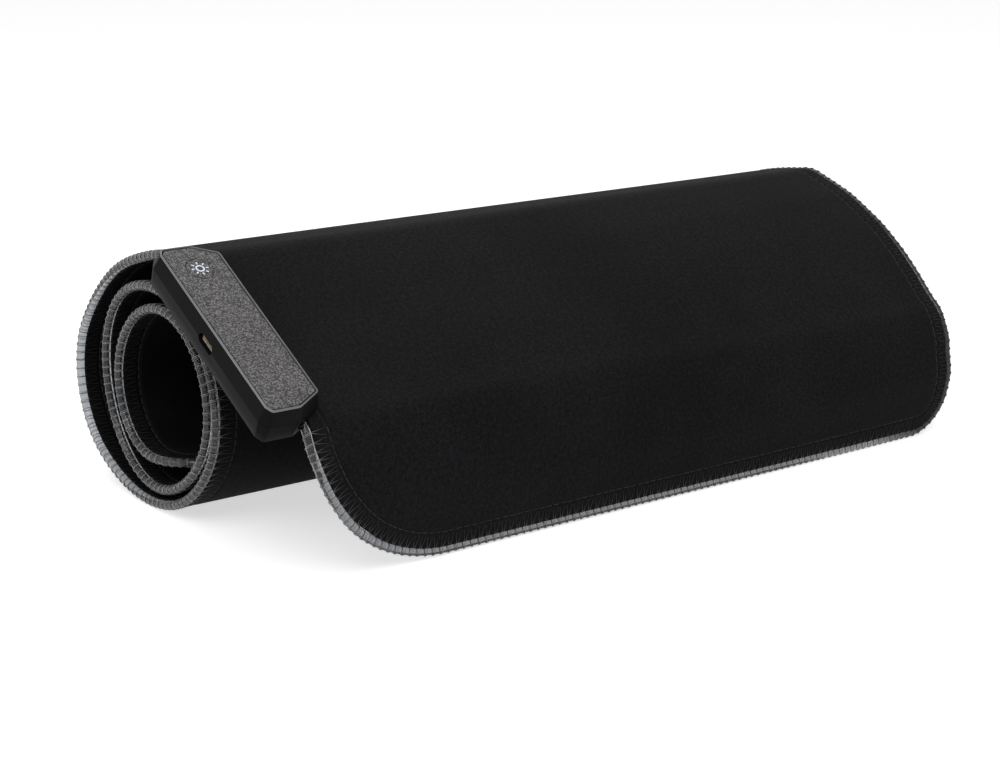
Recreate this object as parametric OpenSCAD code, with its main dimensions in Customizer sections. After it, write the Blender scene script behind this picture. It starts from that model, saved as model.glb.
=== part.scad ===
// Rolled desk mat with an edge-lit light guide and a clamped controller box.
// Units are millimetres. The near long edge lies at low X, the loose flap points to -Y, Z is up.
// The mat is drawn as one continuous ribbon: straight inner end, bends, clamp straight, bend, flap end.

/* [Mat] */
// Distance between the light guide's centre lines on the two long edges
mat_w = 300; // [240:5:400]
// Thickness of the woven top layer
cloth_t = 0.8; // [0.4:0.1:1.2]
// Thickness of the rubber layer
rubber_t = 2.2; // [1.4:0.1:2.6]
// Centre-line radius of the flap's two corners
flap_corner_r = 32; // [15:1:33]
// Centre-line radius of the inner end's two corners
inner_corner_r = 18; // [8:1:19]

/* [Edge] */
// Radius of the clear light guide
guide_r = 1.5; // [1:0.1:1.6]
// Gap between the sheet's edge and the guide's surface
guide_gap = 0.1; // [0.05:0.05:0.3]
// Thickness of the thread band over the edge
band_t = 0.26; // [0.15:0.01:0.3]
// How far the thread band reaches in over the sheet
band_w = 5.5; // [3:0.5:8]
// Half the width of the needle seam's thread
seam_r = 0.25; // [0.15:0.05:0.3]

/* [Roll] */
// Length of the straight inner end
inner_len = 19; // [10:1:20]
// Length of the straight stretch held by the controller
clamp_len = 80; // [80:1:90]
// Length of the straight flap end
flap_len = 37.05; // [33:0.05:40]
// Heading of the inner end, in degrees from +Y
start_heading = -1; // [-5:1:5]
// Slope of the clamped stretch below the horizontal, in degrees
clamp_slope = 30.5; // [25:0.5:36]
// Radius of the bend between the clamped stretch and the flap end
flap_bend_r = 15; // [12:0.5:25]
// Turn of that bend, in degrees
flap_bend_a = 68.5; // [50:0.5:75]

/* [Controller] */
// Length of the controller's top face
box_l = 79; // [70:1:80]
// Width of the controller's top face
box_w = 20.8; // [18:0.2:26]
// How far the top face reaches inboard of the guide's centre line
box_in = 5.4; // [4:0.2:8]
// Height of the top face above the sheet's middle
box_top = 9.8; // [9:0.1:12]
// Depth of the underside below the sheet's middle
box_bottom = 3.3; // [2.8:0.1:4]
// Height of the parting line above the sheet's middle
part_z = 4; // [3:0.1:4.4]
// How far the walls flare outward at the parting line
flare = 1.3; // [0.5:0.1:2]
// Wall thickness of the housings
wall = 1.5; // [1:0.1:2]
// Small chamfer along the length, outboard corners
chamf_out_l = 2.6; // [1:0.1:4]
// Small chamfer across the width, outboard corners
chamf_out_w = 1.4; // [1:0.1:3]
// Large chamfer along the length, inboard corners
chamf_in_l = 5; // [3:0.5:7]
// Large chamfer across the width, inboard corners
chamf_in_w = 9.2; // [6:0.2:11]

/* [Button] */
// Distance of the button from the controller's middle, towards the top of the slope
button_y = 28; // [20:1:29]
// Radius of the button's cap
button_r = 4.7; // [3.5:0.1:5.2]
// Gap round the button's cap
button_gap = 0.25; // [0.15:0.05:0.4]
// Travel of the button
button_travel = 0.6; // [0.3:0.1:0.8]

/* [Socket] */
// Distance of the socket from the controller's middle, towards the bottom of the slope
usb_y = 0.7; // [-5:0.1:5]
// Width of the socket's metal shell
usb_w = 7.5; // [6.8:0.1:8]
// Height of the socket's metal shell
usb_h = 2.6; // [2.2:0.1:3]
// Depth of the socket's metal shell
usb_d = 5.2; // [4:0.1:6]

/* [Circuit] */
// Length of the circuit board
pcb_l = 65; // [60:1:66]
// Thickness of the circuit board
pcb_t = 1; // [0.8:0.1:1.2]
// Height of the circuit board's top above the sheet's middle
pcb_z = 2.5; // [2.3:0.1:2.7]
// Distance of the guide's cut ends from the controller's middle
guide_end_y = 33; // [31:0.5:34]
// Distance of the screws from the controller's middle
screw_y = 35.5; // [35:0.1:36]
// Shank radius of the housing screws
screw_r = 0.95; // [0.8:0.05:1.1]

/* [Hidden] */
$fn = 96;
eps = 0.02;
thread_gap = 0.03;
// Neighbouring lengths of the sheet overlap, and every second one is set off by a step
sheet_lap = 0.03;
sheet_jog = 0.02;
$lap = 0;

// Bends from the inner end outward: [centre-line radius, turn in degrees]
roll_bends = [
    [23, 68], [27, 53], [36, 51], [31, 55],
    [30, 74], [43.5, 46], [32, 53], [40.5, 56],
    [34, 65], [44.5, 66], [35, 77], [50, 45],
    [66, 44], [33, 94], [91, 54]
];
// Radius of the last bend before the clamped stretch; its turn brings the ribbon to the clamp's slope
shoulder_r = 17.75;

function turned(list, i = 0) = i == len(list) ? 0 : list[i][1] + turned(list, i + 1);
shoulder_a = 900 + clamp_slope - start_heading - turned(roll_bends);

// The whole ribbon: [radius, turn] for a bend, [0, length] for a straight
path = concat(
    [[0, inner_len]],
    roll_bends,
    [[shoulder_r, shoulder_a], [0, clamp_len], [flap_bend_r, flap_bend_a], [0, flap_len]]
);
last = len(path) - 1;
clamp_i = last - 2;

// Where each piece of the ribbon starts: [y, z, heading]
start_at = [-18.7, 18.6, start_heading];
function step(s, p) = p[0] == 0
    ? [s[0] + p[1] * cos(s[2]), s[1] + p[1] * sin(s[2]), s[2]]
    : [
        s[0] + p[0] * (sin(s[2] + p[1]) - sin(s[2])),
        s[1] - p[0] * (cos(s[2] + p[1]) - cos(s[2])),
        s[2] + p[1]
    ];
stations = [for (i = 0, s = start_at; i <= last; s = step(s, path[i]), i = i + 1) s];

half_t = (cloth_t + rubber_t) / 2;
sheet_in = guide_r + guide_gap;
band_in = half_t + 2 * eps;
band_out = band_in + band_t;
seam_x = sheet_in + band_w + 0.6;
seam_t = (band_in + band_out) / 2 - eps;

// The row frame: middle of the footprint, lowest point of the roll
frame_shift = [-142.54, 27.34, 0.525];

// Puts ribbon space (x = world Y, y = world Z, z = world X) into the row frame
module in_frame() {
    translate(frame_shift) rotate([90, 0, 90]) children();
}

// Controller frame: origin on the guide's centre line at the middle of the clamped stretch
module in_clamp() {
    s = stations[clamp_i];
    m = step(s, [0, clamp_len / 2]);
    translate(frame_shift) translate([0, m[0], m[1]]) rotate([s[2] - 900, 0, 0]) children();
}

// A flat section (x = outward from the ribbon's middle, y = across the mat) carried along one piece.
// trim shortens a straight at its start and at its end. $lap is how far each piece runs into the
// next one: nothing for the guide, a little short for thread that lies in separate lengths.
module carry(i, trim = [0, 0]) {
    s = stations[i];
    p = path[i];
    if (p[0] == 0)
        translate([s[0], s[1], 0]) rotate([0, 0, s[2]]) translate([trim[0], 0, 0])
            rotate([90, 0, 90]) linear_extrude(p[1] - trim[0] - trim[1] + $lap)
                mirror([1, 0]) children();
    else
        translate([s[0] - p[0] * sin(s[2]), s[1] + p[0] * cos(s[2]), 0])
            rotate_extrude(angle = p[1] + $lap / p[0] * 180 / PI, start = s[2] - 90)
                translate([p[0], 0]) children();
}

// One length of the sheet's section, between two heights above its middle: x = world Y, y = world Z
module length_section(i, t0, t1) {
    s = stations[i];
    r = path[i][0];
    if (r == 0)
        translate([s[0], s[1]]) rotate(s[2]) translate([0, -t1])
            square([path[i][1] + (i == last ? 0 : sheet_lap), t1 - t0]);
    else
        translate([s[0] - r * sin(s[2]), s[1] + r * cos(s[2])]) rotate(s[2] - 90) intersection() {
            difference() {
                circle(r + t1);
                circle(r + t0);
            }
            sector(2 * r, path[i][1] + sheet_lap / r * 180 / PI);
        }
}
module sector(r, a) {
    polygon([[0, 0], [r, 0], r * [cos(a / 2), sin(a / 2)], r * [cos(a), sin(a)]]);
}

// What rounding takes off a corner at the origin that lies in +x and +y
module corner_waste(r) {
    difference() {
        translate([-1, -1]) square(r + 1);
        translate([r, r]) circle(r);
    }
}
module end_waste(r) {
    corner_waste(r);
    translate([0, mat_w - 2 * sheet_in]) mirror([0, 1]) corner_waste(r);
}

// One layer of the sheet, its four corners rounded. lift is the step's direction: +1 outward, -1 inward
module layer(t0, t1, lift) {
    inner = stations[0];
    flap = stations[last];
    reach = half_t + 0.5;
    difference() {
        translate([0, 0, sheet_in]) linear_extrude(mat_w - 2 * sheet_in) difference() {
            for (i = [0 : last]) {
                jog = (i + 1) % 2 * lift * sheet_jog;
                length_section(i, t0 + jog, t1 + jog);
            }
            translate([inner[0], inner[1]]) rotate(inner[2])
                translate([-1, -reach]) square([sheet_in + 1, 2 * reach]);
            translate([flap[0], flap[1]]) rotate(flap[2])
                translate([flap_len - sheet_in, -reach]) square([sheet_in + 1, 2 * reach]);
        }
        translate([inner[0], inner[1], sheet_in]) rotate([0, 0, inner[2]]) rotate([90, 0, 0])
            translate([sheet_in, 0, -reach]) linear_extrude(2 * reach)
                end_waste(inner_corner_r - sheet_in);
        translate([flap[0], flap[1], sheet_in]) rotate([0, 0, flap[2]]) rotate([90, 0, 0])
            translate([flap_len - sheet_in, 0, -reach]) linear_extrude(2 * reach)
                mirror([1, 0]) end_waste(flap_corner_r - sheet_in);
    }
}

// A section carried right round the mat's edge. It is drawn with x outward from the edge and y outward
// from the sheet. gap is the half length left free inside the controller.
module near_side() {
    rotate(-90) children();
}
module far_side() {
    translate([0, mat_w]) mirror([0, 1]) rotate(-90) children();
}
module long_edges(gap) {
    stub = clamp_len / 2 + gap;
    for (i = [1 : last - 1]) {
        carry(i) far_side() children();
        if (i != clamp_i) carry(i) near_side() children();
    }
    carry(clamp_i, [0, stub]) near_side() children();
    carry(clamp_i, [stub, 0]) near_side() children();
    carry(0, [inner_corner_r, 0]) near_side() children();
    carry(0, [inner_corner_r, 0]) far_side() children();
    carry(last, [0, flap_corner_r]) near_side() children();
    carry(last, [0, flap_corner_r]) far_side() children();
}
module corner(x, z, r, from) {
    translate([x, 0, z]) rotate([90, 0, 0]) rotate_extrude(angle = 90, start = from)
        translate([r, 0]) children();
}
module inner_edge() {
    s = stations[0];
    r = inner_corner_r;
    translate([s[0], s[1], 0]) rotate([0, 0, s[2]]) {
        corner(r, r, r, 180) children();
        corner(r, mat_w - r, r, 90) children();
        translate([0, 0, r - $lap]) linear_extrude(mat_w - 2 * r + 2 * $lap) rotate(180) children();
    }
}
module flap_edge() {
    s = stations[last];
    r = flap_corner_r;
    translate([s[0], s[1], 0]) rotate([0, 0, s[2]]) {
        corner(flap_len - r, r, r, 270) children();
        corner(flap_len - r, mat_w - r, r, 0) children();
        translate([flap_len, 0, r - $lap]) linear_extrude(mat_w - 2 * r + 2 * $lap)
            mirror([0, 1]) children();
    }
}
module edge_run(gap) {
    long_edges(gap) children();
    inner_edge() children();
    flap_edge() children();
}

// ---- The mat ----

module cloth_top() {
    color([0.05, 0.05, 0.05]) in_frame() layer(half_t - cloth_t, half_t, 1);
}

module rubber_base() {
    color([0.08, 0.08, 0.09]) in_frame() layer(-half_t, half_t - cloth_t, -1);
}

module light_guide() {
    color([0.85, 0.87, 0.9]) in_frame() edge_run(guide_end_y) circle(guide_r);
}

// Overlock threads, drawn as the thin band that they cover
module band_section() {
    reach = sheet_in + band_w;
    difference() {
        union() {
            circle(band_out);
            translate([-reach, -band_out]) square([reach, 2 * band_out]);
        }
        circle(band_in);
        translate([-reach - 1, -band_in]) square([reach + 1, 2 * band_in]);
    }
}

module edge_stitching() {
    $lap = -thread_gap;
    color([0.35, 0.35, 0.38]) in_frame() {
        long_edges(box_l / 2 - 3) band_section();
        inner_edge() band_section();
    }
}

// The stitching round the flap's end, which the flap stands on
module flap_stitching() {
    $lap = -thread_gap;
    color([0.35, 0.35, 0.38]) in_frame() flap_edge() band_section();
}

module needle_seam() {
    color([0.2, 0.2, 0.22]) in_frame() edge_run(clamp_len / 2 - 0.5, $lap = -thread_gap)
        translate([-seam_x, seam_t]) square([2 * seam_r, band_t - 0.04], center = true);
}

// ---- The controller ----

x_in = box_in;
x_out = box_in - box_w;
half_l = box_l / 2;
rim_h = 0.8;
rim_w = 0.9;
plate_drop = 0.25;
seat_z = box_top - rim_h;
plate_z = box_top - plate_drop;
slot_x = -2.1;
slot_z = 2.1;
ceiling_z = 7.4;
button_x = -5.2;
pcb_x0 = x_out + 1.9;
pcb_x1 = -2.3;
usb_z = pcb_z + usb_h / 2;
usb_mouth = x_out + 0.2;
screw_x = [-11, -5.4];

// A chamfer's leg after its outline is offset by d
function leg(this, other, d) = d + this - d * (norm([this, other]) - this) / other;
function outline(d) = [
    [x_in + d, leg(chamf_in_l, chamf_in_w, d) - half_l - d],
    [x_in + d, half_l + d - leg(chamf_in_l, chamf_in_w, d)],
    [x_in + d - leg(chamf_in_w, chamf_in_l, d), half_l + d],
    [x_out - d + leg(chamf_out_w, chamf_out_l, d), half_l + d],
    [x_out - d, half_l + d - leg(chamf_out_l, chamf_out_w, d)],
    [x_out - d, leg(chamf_out_l, chamf_out_w, d) - half_l - d],
    [x_out - d + leg(chamf_out_w, chamf_out_l, d), -half_l - d],
    [x_in + d - leg(chamf_in_w, chamf_in_l, d), -half_l - d]
];
module slab(z0, z1, d) {
    translate([0, 0, z0]) linear_extrude(z1 - z0) polygon(outline(d));
}
// A body whose walls slope between two offset outlines
module taper(z0, d0, z1, d1) {
    n = 8;
    low = [for (p = outline(d0)) [p[0], p[1], z0]];
    high = [for (p = outline(d1)) [p[0], p[1], z1]];
    polyhedron(
        concat(low, high),
        concat(
            [[for (i = [0 : n - 1]) i]],
            [[for (i = [0 : n - 1]) 2 * n - 1 - i]],
            [for (i = [0 : n - 1]) [i, i + n, (i + 1) % n + n, (i + 1) % n]]
        )
    );
}
// A box given by its low and high corners
module span(a, b) {
    translate(a) cube(b - a);
}
// The same piece at both ends of the controller
module both_ends() {
    children();
    mirror([0, 1, 0]) children();
}
module usb_cutout() {
    r = usb_h / 2 + 0.5;
    reach = usb_w / 2 + 0.8 - r;
    translate([x_out - 3, -usb_y, usb_z]) rotate([0, 90, 0]) {
        for (y = [-reach, reach]) translate([0, y, 0]) cylinder(h = 5.5, r = r);
        translate([-r, -reach, 0]) cube([2 * r, 2 * reach, 5.5]);
    }
}

module upper_housing() {
    color([0.10, 0.10, 0.11]) in_clamp() difference() {
        union() {
            taper(part_z, flare, seat_z - eps, 0);
            intersection() {
                slab(slot_z, part_z, flare);
                span([slot_x + 0.2, -half_l - 5, 0], [x_in + 5, half_l + 5, part_z + 1]);
            }
        }
        difference() {
            union() {
                span([x_out + wall, -36.5, slot_z - 1], [-3, 36.5, ceiling_z]);
                span([-4, -35.3, slot_z - 1], [1.2, 35.3, ceiling_z]);
            }
            both_ends() for (x = screw_x)
                translate([x, screw_y, part_z]) cylinder(h = 5, r = 1.9);
        }
        both_ends() for (x = screw_x)
            translate([x, screw_y, 0]) cylinder(h = 7.2, r = screw_r + eps);
        translate([button_x, button_y, 0]) cylinder(h = 12, r = button_r + button_gap);
        usb_cutout();
    }
}

module lower_housing() {
    color([0.14, 0.14, 0.15]) in_clamp() difference() {
        taper(-box_bottom, flare - 0.8, part_z - eps, flare);
        span([slot_x, -half_l - 5, -half_t - 0.4], [x_in + 5, half_l + 5, part_z + 1]);
        difference() {
            span([x_out + wall, -36.5, -1.8], [slot_x + 1, 36.5, part_z + 1]);
            both_ends() for (x = screw_x)
                translate([x, screw_y, -2]) cylinder(h = 8, r = 1.9);
            both_ends() for (x = [pcb_x0 + 1.6, pcb_x1 - 1.6])
                translate([x, 22, -2]) cylinder(h = pcb_z - pcb_t + 2 - eps, r = 1.3);
        }
        both_ends() for (x = screw_x) translate([x, screw_y, -box_bottom - 1]) {
            cylinder(h = box_bottom + 6, r = screw_r + 0.1);
            cylinder(h = 2.2, r = 1.85);
        }
        usb_cutout();
    }
}

module bezel() {
    color([0.55, 0.56, 0.6]) in_clamp() difference() {
        slab(seat_z, box_top, 0);
        slab(seat_z - 1, box_top + 1, -rim_w);
    }
}

module top_plate() {
    color([0.2, 0.2, 0.21]) in_clamp() difference() {
        slab(seat_z, plate_z, -rim_w - 0.05);
        translate([button_x, button_y, 0]) cylinder(h = 12, r = button_r + button_gap);
    }
}

module mode_button() {
    color([0.2, 0.2, 0.21]) in_clamp() translate([button_x, button_y, 0]) {
        translate([0, 0, 6.5]) cylinder(h = plate_z - 6.5, r = button_r);
        translate([0, 0, 6.5]) cylinder(h = 0.7, r = button_r + 0.8);
        translate([0, 0, 6.22]) cylinder(h = 0.5, r = 1.8);
    }
}

// A plain lamp sign: a ring with short rays
module button_symbol() {
    color([0.9, 0.93, 1]) in_clamp() translate([button_x, button_y, plate_z + eps]) {
        difference() {
            cylinder(h = 0.12, r = 1.6);
            translate([0, 0, -1]) cylinder(h = 3, r = 1.05);
        }
        for (a = [0 : 45 : 315]) rotate([0, 0, a]) span([2.1, -0.25, 0], [3.1, 0.25, 0.12]);
    }
}

module tact_switch() {
    color([0.15, 0.15, 0.15]) in_clamp() translate([button_x, button_y, 0]) difference() {
        span([-2.6, -2.6, pcb_z + eps], [2.6, 2.6, 5]);
        translate([0, 0, 3.6]) cylinder(h = 5, r = 1.7);
    }
}

module switch_plunger() {
    color([0.7, 0.7, 0.65]) in_clamp() translate([button_x, button_y, 4.4])
        cylinder(h = 1.8, r = 1.5);
}

module circuit_board() {
    color([0.05, 0.25, 0.12]) in_clamp()
        span([pcb_x0, -pcb_l / 2, pcb_z - pcb_t], [pcb_x1, pcb_l / 2, pcb_z]);
}

module controller_chip() {
    color([0.04, 0.04, 0.04]) in_clamp() translate([-8.6, -14, pcb_z + eps]) {
        span([-2, -2.5, 0.15], [2, 2.5, 1.5]);
        for (y = [-1.9 : 1.27 : 1.95]) span([-3, y - 0.2, 0], [3, y + 0.2, 0.4]);
    }
}

module passives() {
    color([0.5, 0.4, 0.3]) in_clamp() translate([0, 0, pcb_z + eps]) {
        for (y = [9 : 3 : 18]) span([-9, y, 0], [-7, y + 1.2, 0.8]);
        for (y = [-24, -21]) span([-6.5, y, 0], [-4.9, y + 0.9, 0.6]);
        translate([-10.6, -22, 0]) cylinder(h = 3, r = 1.6);
    }
}

module usb_shell() {
    color([0.75, 0.75, 0.78]) in_clamp() translate([usb_mouth, -usb_y, pcb_z + eps]) difference() {
        span([0, -usb_w / 2, 0], [usb_d, usb_w / 2, usb_h]);
        span([-1, 0.3 - usb_w / 2, 0.3], [usb_d - 0.5, usb_w / 2 - 0.3, usb_h - 0.3]);
    }
}

module usb_tongue() {
    color([0.06, 0.06, 0.06]) in_clamp() translate([usb_mouth, -usb_y, pcb_z + eps])
        span([0.7, -2.2, 1.1], [usb_d - 0.5, 2.2, 1.7]);
}

module usb_contacts() {
    color([0.85, 0.65, 0.25]) in_clamp() translate([usb_mouth, -usb_y, pcb_z + eps])
        for (y = [-1.3 : 0.65 : 1.35]) span([0.9, y - 0.15, 0.98], [usb_d - 0.5, y + 0.15, 1.1 - eps / 2]);
}

module led_chip() {
    span([-1.3, 30.42, -1.3], [1.3, 31.6, 1.3]);
}
module led_rear() {
    color([0.95, 0.95, 0.9]) in_clamp() led_chip();
}
module led_front() {
    color([0.95, 0.95, 0.9]) in_clamp() mirror([0, 1, 0]) led_chip();
}

module led_carrier() {
    span([-5, 29.6, -1.5], [1.3, 30.4, pcb_z - pcb_t - eps]);
}
module led_board_rear() {
    color([0.05, 0.25, 0.12]) in_clamp() led_carrier();
}
module led_board_front() {
    color([0.05, 0.25, 0.12]) in_clamp() mirror([0, 1, 0]) led_carrier();
}

// Holds a cut end of the light guide against its lamp
module ferrule() {
    difference() {
        span([-2, 31.62, -1.78], [1.5, 35.2, 1.9]);
        translate([0, 31, 0]) rotate([-90, 0, 0]) cylinder(h = 6, r = guide_r + eps);
    }
}
module ferrule_rear() {
    color([0.8, 0.8, 0.8]) in_clamp() ferrule();
}
module ferrule_front() {
    color([0.8, 0.8, 0.8]) in_clamp() mirror([0, 1, 0]) ferrule();
}

// Soft strip that the upper housing presses onto the mat
module clamp_strip() {
    color([0.1, 0.1, 0.1]) in_clamp() span([2, -33, band_out + eps], [x_in - 0.3, 33, slot_z - eps]);
}

module base_pad() {
    color([0.07, 0.07, 0.07]) in_clamp()
        span([x_out + 3, -30, -box_bottom - 0.5], [x_in - 2, 30, -box_bottom - eps]);
}

module screw(x, y) {
    in_clamp() translate([x, y, 0]) difference() {
        union() {
            translate([0, 0, eps - box_bottom]) cylinder(h = 1.1, r = 1.75);
            translate([0, 0, -2.2]) cylinder(h = 9.2, r = screw_r);
        }
        for (a = [0, 90]) rotate([0, 0, a])
            translate([-1, -0.2, -box_bottom - 1]) cube([2, 0.4, 1.5]);
    }
}
module screw_1() {
    color([0.6, 0.6, 0.62]) screw(screw_x[0], screw_y);
}
module screw_2() {
    color([0.6, 0.6, 0.62]) screw(screw_x[1], screw_y);
}
module screw_3() {
    color([0.6, 0.6, 0.62]) screw(screw_x[0], -screw_y);
}
module screw_4() {
    color([0.6, 0.6, 0.62]) screw(screw_x[1], -screw_y);
}

cloth_top();
rubber_base();
light_guide();
edge_stitching();
flap_stitching();
needle_seam();
upper_housing();
lower_housing();
bezel();
top_plate();
mode_button();
button_symbol();
tact_switch();
switch_plunger();
circuit_board();
controller_chip();
passives();
usb_shell();
usb_tongue();
usb_contacts();
led_rear();
led_front();
led_board_rear();
led_board_front();
ferrule_rear();
ferrule_front();
clamp_strip();
base_pad();
screw_1();
screw_2();
screw_3();
screw_4();
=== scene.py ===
import math

import bmesh
import bpy
import numpy as np
from mathutils import Matrix, Vector, geometry, noise


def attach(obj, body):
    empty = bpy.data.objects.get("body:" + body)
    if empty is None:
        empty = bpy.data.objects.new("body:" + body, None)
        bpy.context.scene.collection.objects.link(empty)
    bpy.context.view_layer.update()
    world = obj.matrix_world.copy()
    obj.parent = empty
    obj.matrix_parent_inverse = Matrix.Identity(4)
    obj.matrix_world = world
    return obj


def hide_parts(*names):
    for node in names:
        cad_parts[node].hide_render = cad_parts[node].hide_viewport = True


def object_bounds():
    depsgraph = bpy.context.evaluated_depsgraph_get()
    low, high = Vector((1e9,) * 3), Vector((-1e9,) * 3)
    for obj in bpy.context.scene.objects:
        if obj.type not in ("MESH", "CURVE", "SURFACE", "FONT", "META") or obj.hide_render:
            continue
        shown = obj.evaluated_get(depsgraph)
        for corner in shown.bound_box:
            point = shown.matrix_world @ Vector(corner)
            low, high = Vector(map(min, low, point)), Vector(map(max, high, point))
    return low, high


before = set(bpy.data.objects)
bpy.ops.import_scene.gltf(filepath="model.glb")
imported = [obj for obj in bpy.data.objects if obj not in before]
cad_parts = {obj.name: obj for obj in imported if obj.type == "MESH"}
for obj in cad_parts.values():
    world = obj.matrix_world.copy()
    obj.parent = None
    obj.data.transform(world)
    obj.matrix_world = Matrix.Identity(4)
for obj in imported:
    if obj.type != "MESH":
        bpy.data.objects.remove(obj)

CAD_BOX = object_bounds()
MM = 0.001
RNG = np.random.default_rng(7)

# ---------------------------------------------------------------- the ribbon's section, as in part.scad
SHIFT = (-142.54, 27.34, 0.525)
W = 300.0
START = (-18.7, 18.6, -1.0)
SLOPE = 30.5
TURNS = 900             # degrees: the clamped stretch's heading is this plus its slope
INNER_LEN, CLAMP_LEN, FLAP_LEN = 19.0, 80.0, 37.05
SHOULDER_R, FLAP_BEND = 17.75, (15, 68.5)
BENDS = [(23, 68), (27, 53), (36, 51), (31, 55), (30, 74), (43.5, 46), (32, 53), (40.5, 56),
         (34, 65), (44.5, 66), (35, 77), (50, 45), (66, 44), (33, 94), (91, 54)]


def chain():
    """rows of where each straight or arc begins, its radius (0 for a straight), place and heading; and
    the whole length. The path's pairs are (0, length) or (radius, degrees)"""
    path = [(0, INNER_LEN)] + BENDS
    path.append((SHOULDER_R, TURNS + SLOPE - START[2] - sum(a for _, a in BENDS)))
    path += [(0, CLAMP_LEN), FLAP_BEND, (0, FLAP_LEN)]
    rows, (y, z, h), s = [], START, 0.0
    for r, a in path:
        length = a if r == 0 else r * math.radians(a)
        h0 = math.radians(h)
        rows.append((s, r, y, z, h0))
        if r == 0:
            y, z = y + a * math.cos(h0), z + a * math.sin(h0)
        else:
            h1 = math.radians(h + a)
            y, z, h = y + r * (math.sin(h1) - math.sin(h0)), z - r * (math.cos(h1) - math.cos(h0)), h + a
        s += length
    return np.array(rows), s


ROWS, S = chain()
CLAMP_MID = ROWS[len(BENDS) + 2, 0] + CLAMP_LEN / 2


def section(s):
    """y, z and heading of the ribbon's middle at arc length s"""
    i = np.clip(np.searchsorted(ROWS[:, 0], s, side="right") - 1, 0, len(ROWS) - 1)
    s0, r, y, z, h0 = ROWS[i].T
    u = s - s0
    bent = r > 0
    rr = np.where(bent, r, 1.0)
    h = np.where(bent, h0 + u / rr, h0)
    yy = np.where(bent, y + rr * (np.sin(h) - np.sin(h0)), y + u * np.cos(h0))
    zz = np.where(bent, z - rr * (np.cos(h) - np.cos(h0)), z + u * np.sin(h0))
    return yy, zz, h


def hermite(x, knots):
    """a smooth curve through the knots that doesn't overshoot"""
    kx, ky = np.array(knots, float).T
    d = np.diff(ky) / np.diff(kx)
    m = np.zeros_like(ky)
    same = d[:-1] * d[1:] > 0
    m[1:-1][same] = 2 * d[:-1][same] * d[1:][same] / (d[:-1][same] + d[1:][same])
    x = np.clip(x, kx[0], kx[-1])
    i = np.clip(np.searchsorted(kx, x, side="right") - 1, 0, len(kx) - 2)
    w = kx[i + 1] - kx[i]
    t = (x - kx[i]) / w
    return ((2 * t**3 - 3 * t**2 + 1) * ky[i] + (t**3 - 2 * t**2 + t) * w * m[i]
            + (3 * t**2 - 2 * t**3) * ky[i + 1] + (t**3 - t**2) * w * m[i + 1])


# How far the real mat stands off the CAD section: along the near edge and along the far edge
NEAR_OFF = [(730, 0), (741, -3.5), (749, -3.8), (756, -2.23), (766, -0.4), (776, -0.86), (787.1, -1.0)]
FAR_OFF = [(628, 0), (641, 0.56), (650, 1.51), (662, 3.79), (673, 5.4), (688, 5.75), (704, 4.15), (717, 1.3),
           (731, -2.5), (742, -3.8), (753, -1.2), (765, 1.9), (787.1, 1.0)]
# and how far the whole shoulder of the roll sits lower
TOP_OFF = [(590, 0), (618, -1.2), (640, -1.2), (652, 0), (787.1, 0)]
R_INNER, R_NEAR, R_FAR = 18.0, 54.6, 15.4
RIPPLE = 0.16           # a slight unevenness of the sheet, which dies out at both long edges


def smooth(t):
    t = np.clip(t, 0, 1)
    return t * t * (3 - 2 * t)


def place(s, x, t):
    """a point of the flat mat (along, across, outward), rolled up; row frame, metres"""
    s, x, t = np.broadcast_arrays(np.asarray(s, float), np.asarray(x, float), np.asarray(t, float))
    y, z, h = section(s)
    w = smooth((x - 20) / 260)
    off = hermite(s, NEAR_OFF) * (1 - w) + hermite(s, FAR_OFF) * w
    off = off + hermite(s, TOP_OFF)
    off = off + RIPPLE * np.sin(s / 23.0 + 0.8) * np.sin(x / 61.0) * smooth(x / 40) * smooth((W - x) / 40)
    q = t + off
    return np.stack([x + SHIFT[0], y + q * np.sin(h) + SHIFT[1], z - q * np.cos(h) + SHIFT[2]], -1) * MM


# ---------------------------------------------------------------- the mat's outline, flat
def outline(e, step):
    """points of the outline e inside the guide's centre line, with their outward directions; it
    starts and ends at the middle of the controller and runs towards the flap"""
    corners = [(S - R_NEAR, R_NEAR, R_NEAR, -90), (S - R_FAR, W - R_FAR, R_FAR, 0),
               (R_INNER, W - R_INNER, R_INNER, 90), (R_INNER, R_INNER, R_INNER, 180)]
    pts, last = [], (CLAMP_MID, e, 0.0, -1.0)

    def line(a, b):
        n = max(2, int(math.hypot(b[0] - a[0], b[1] - a[1]) / step))
        for k in range(n):
            f = k / n
            pts.append((a[0] + (b[0] - a[0]) * f, a[1] + (b[1] - a[1]) * f, b[2], b[3]))

    for cs, cx, r, a0 in corners:
        a0 = math.radians(a0)
        p = (cs + (r - e) * math.cos(a0), cx + (r - e) * math.sin(a0), math.cos(a0), math.sin(a0))
        line(last, p)
        n = max(6, int(r * math.pi / 2 / step))
        for k in range(n):
            a = a0 + math.pi / 2 * k / n
            pts.append((cs + (r - e) * math.cos(a), cx + (r - e) * math.sin(a), math.cos(a), math.sin(a)))
        a = a0 + math.pi / 2
        last = (cs + (r - e) * math.cos(a), cx + (r - e) * math.sin(a), math.cos(a), math.sin(a))
    line(last, (CLAMP_MID, e, 0.0, -1.0))
    return np.array(pts)


def arclength(p):
    d = np.linalg.norm(np.diff(np.vstack([p, p[:1]])[:, :2], axis=0), axis=1)
    return np.concatenate([[0], np.cumsum(d)])


GUIDE = outline(0.0, 0.4)
GLEN = arclength(GUIDE)
TOTAL = GLEN[-1]


def at(u):
    """the guide's flat centre and outward direction at distance u from the controller's middle"""
    loop = np.vstack([GUIDE, GUIDE[:1]])
    out = np.stack([np.interp(u, GLEN, loop[:, k]) for k in range(4)], -1)
    out[:, 2:] /= np.linalg.norm(out[:, 2:], axis=1, keepdims=True)
    return out


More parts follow.
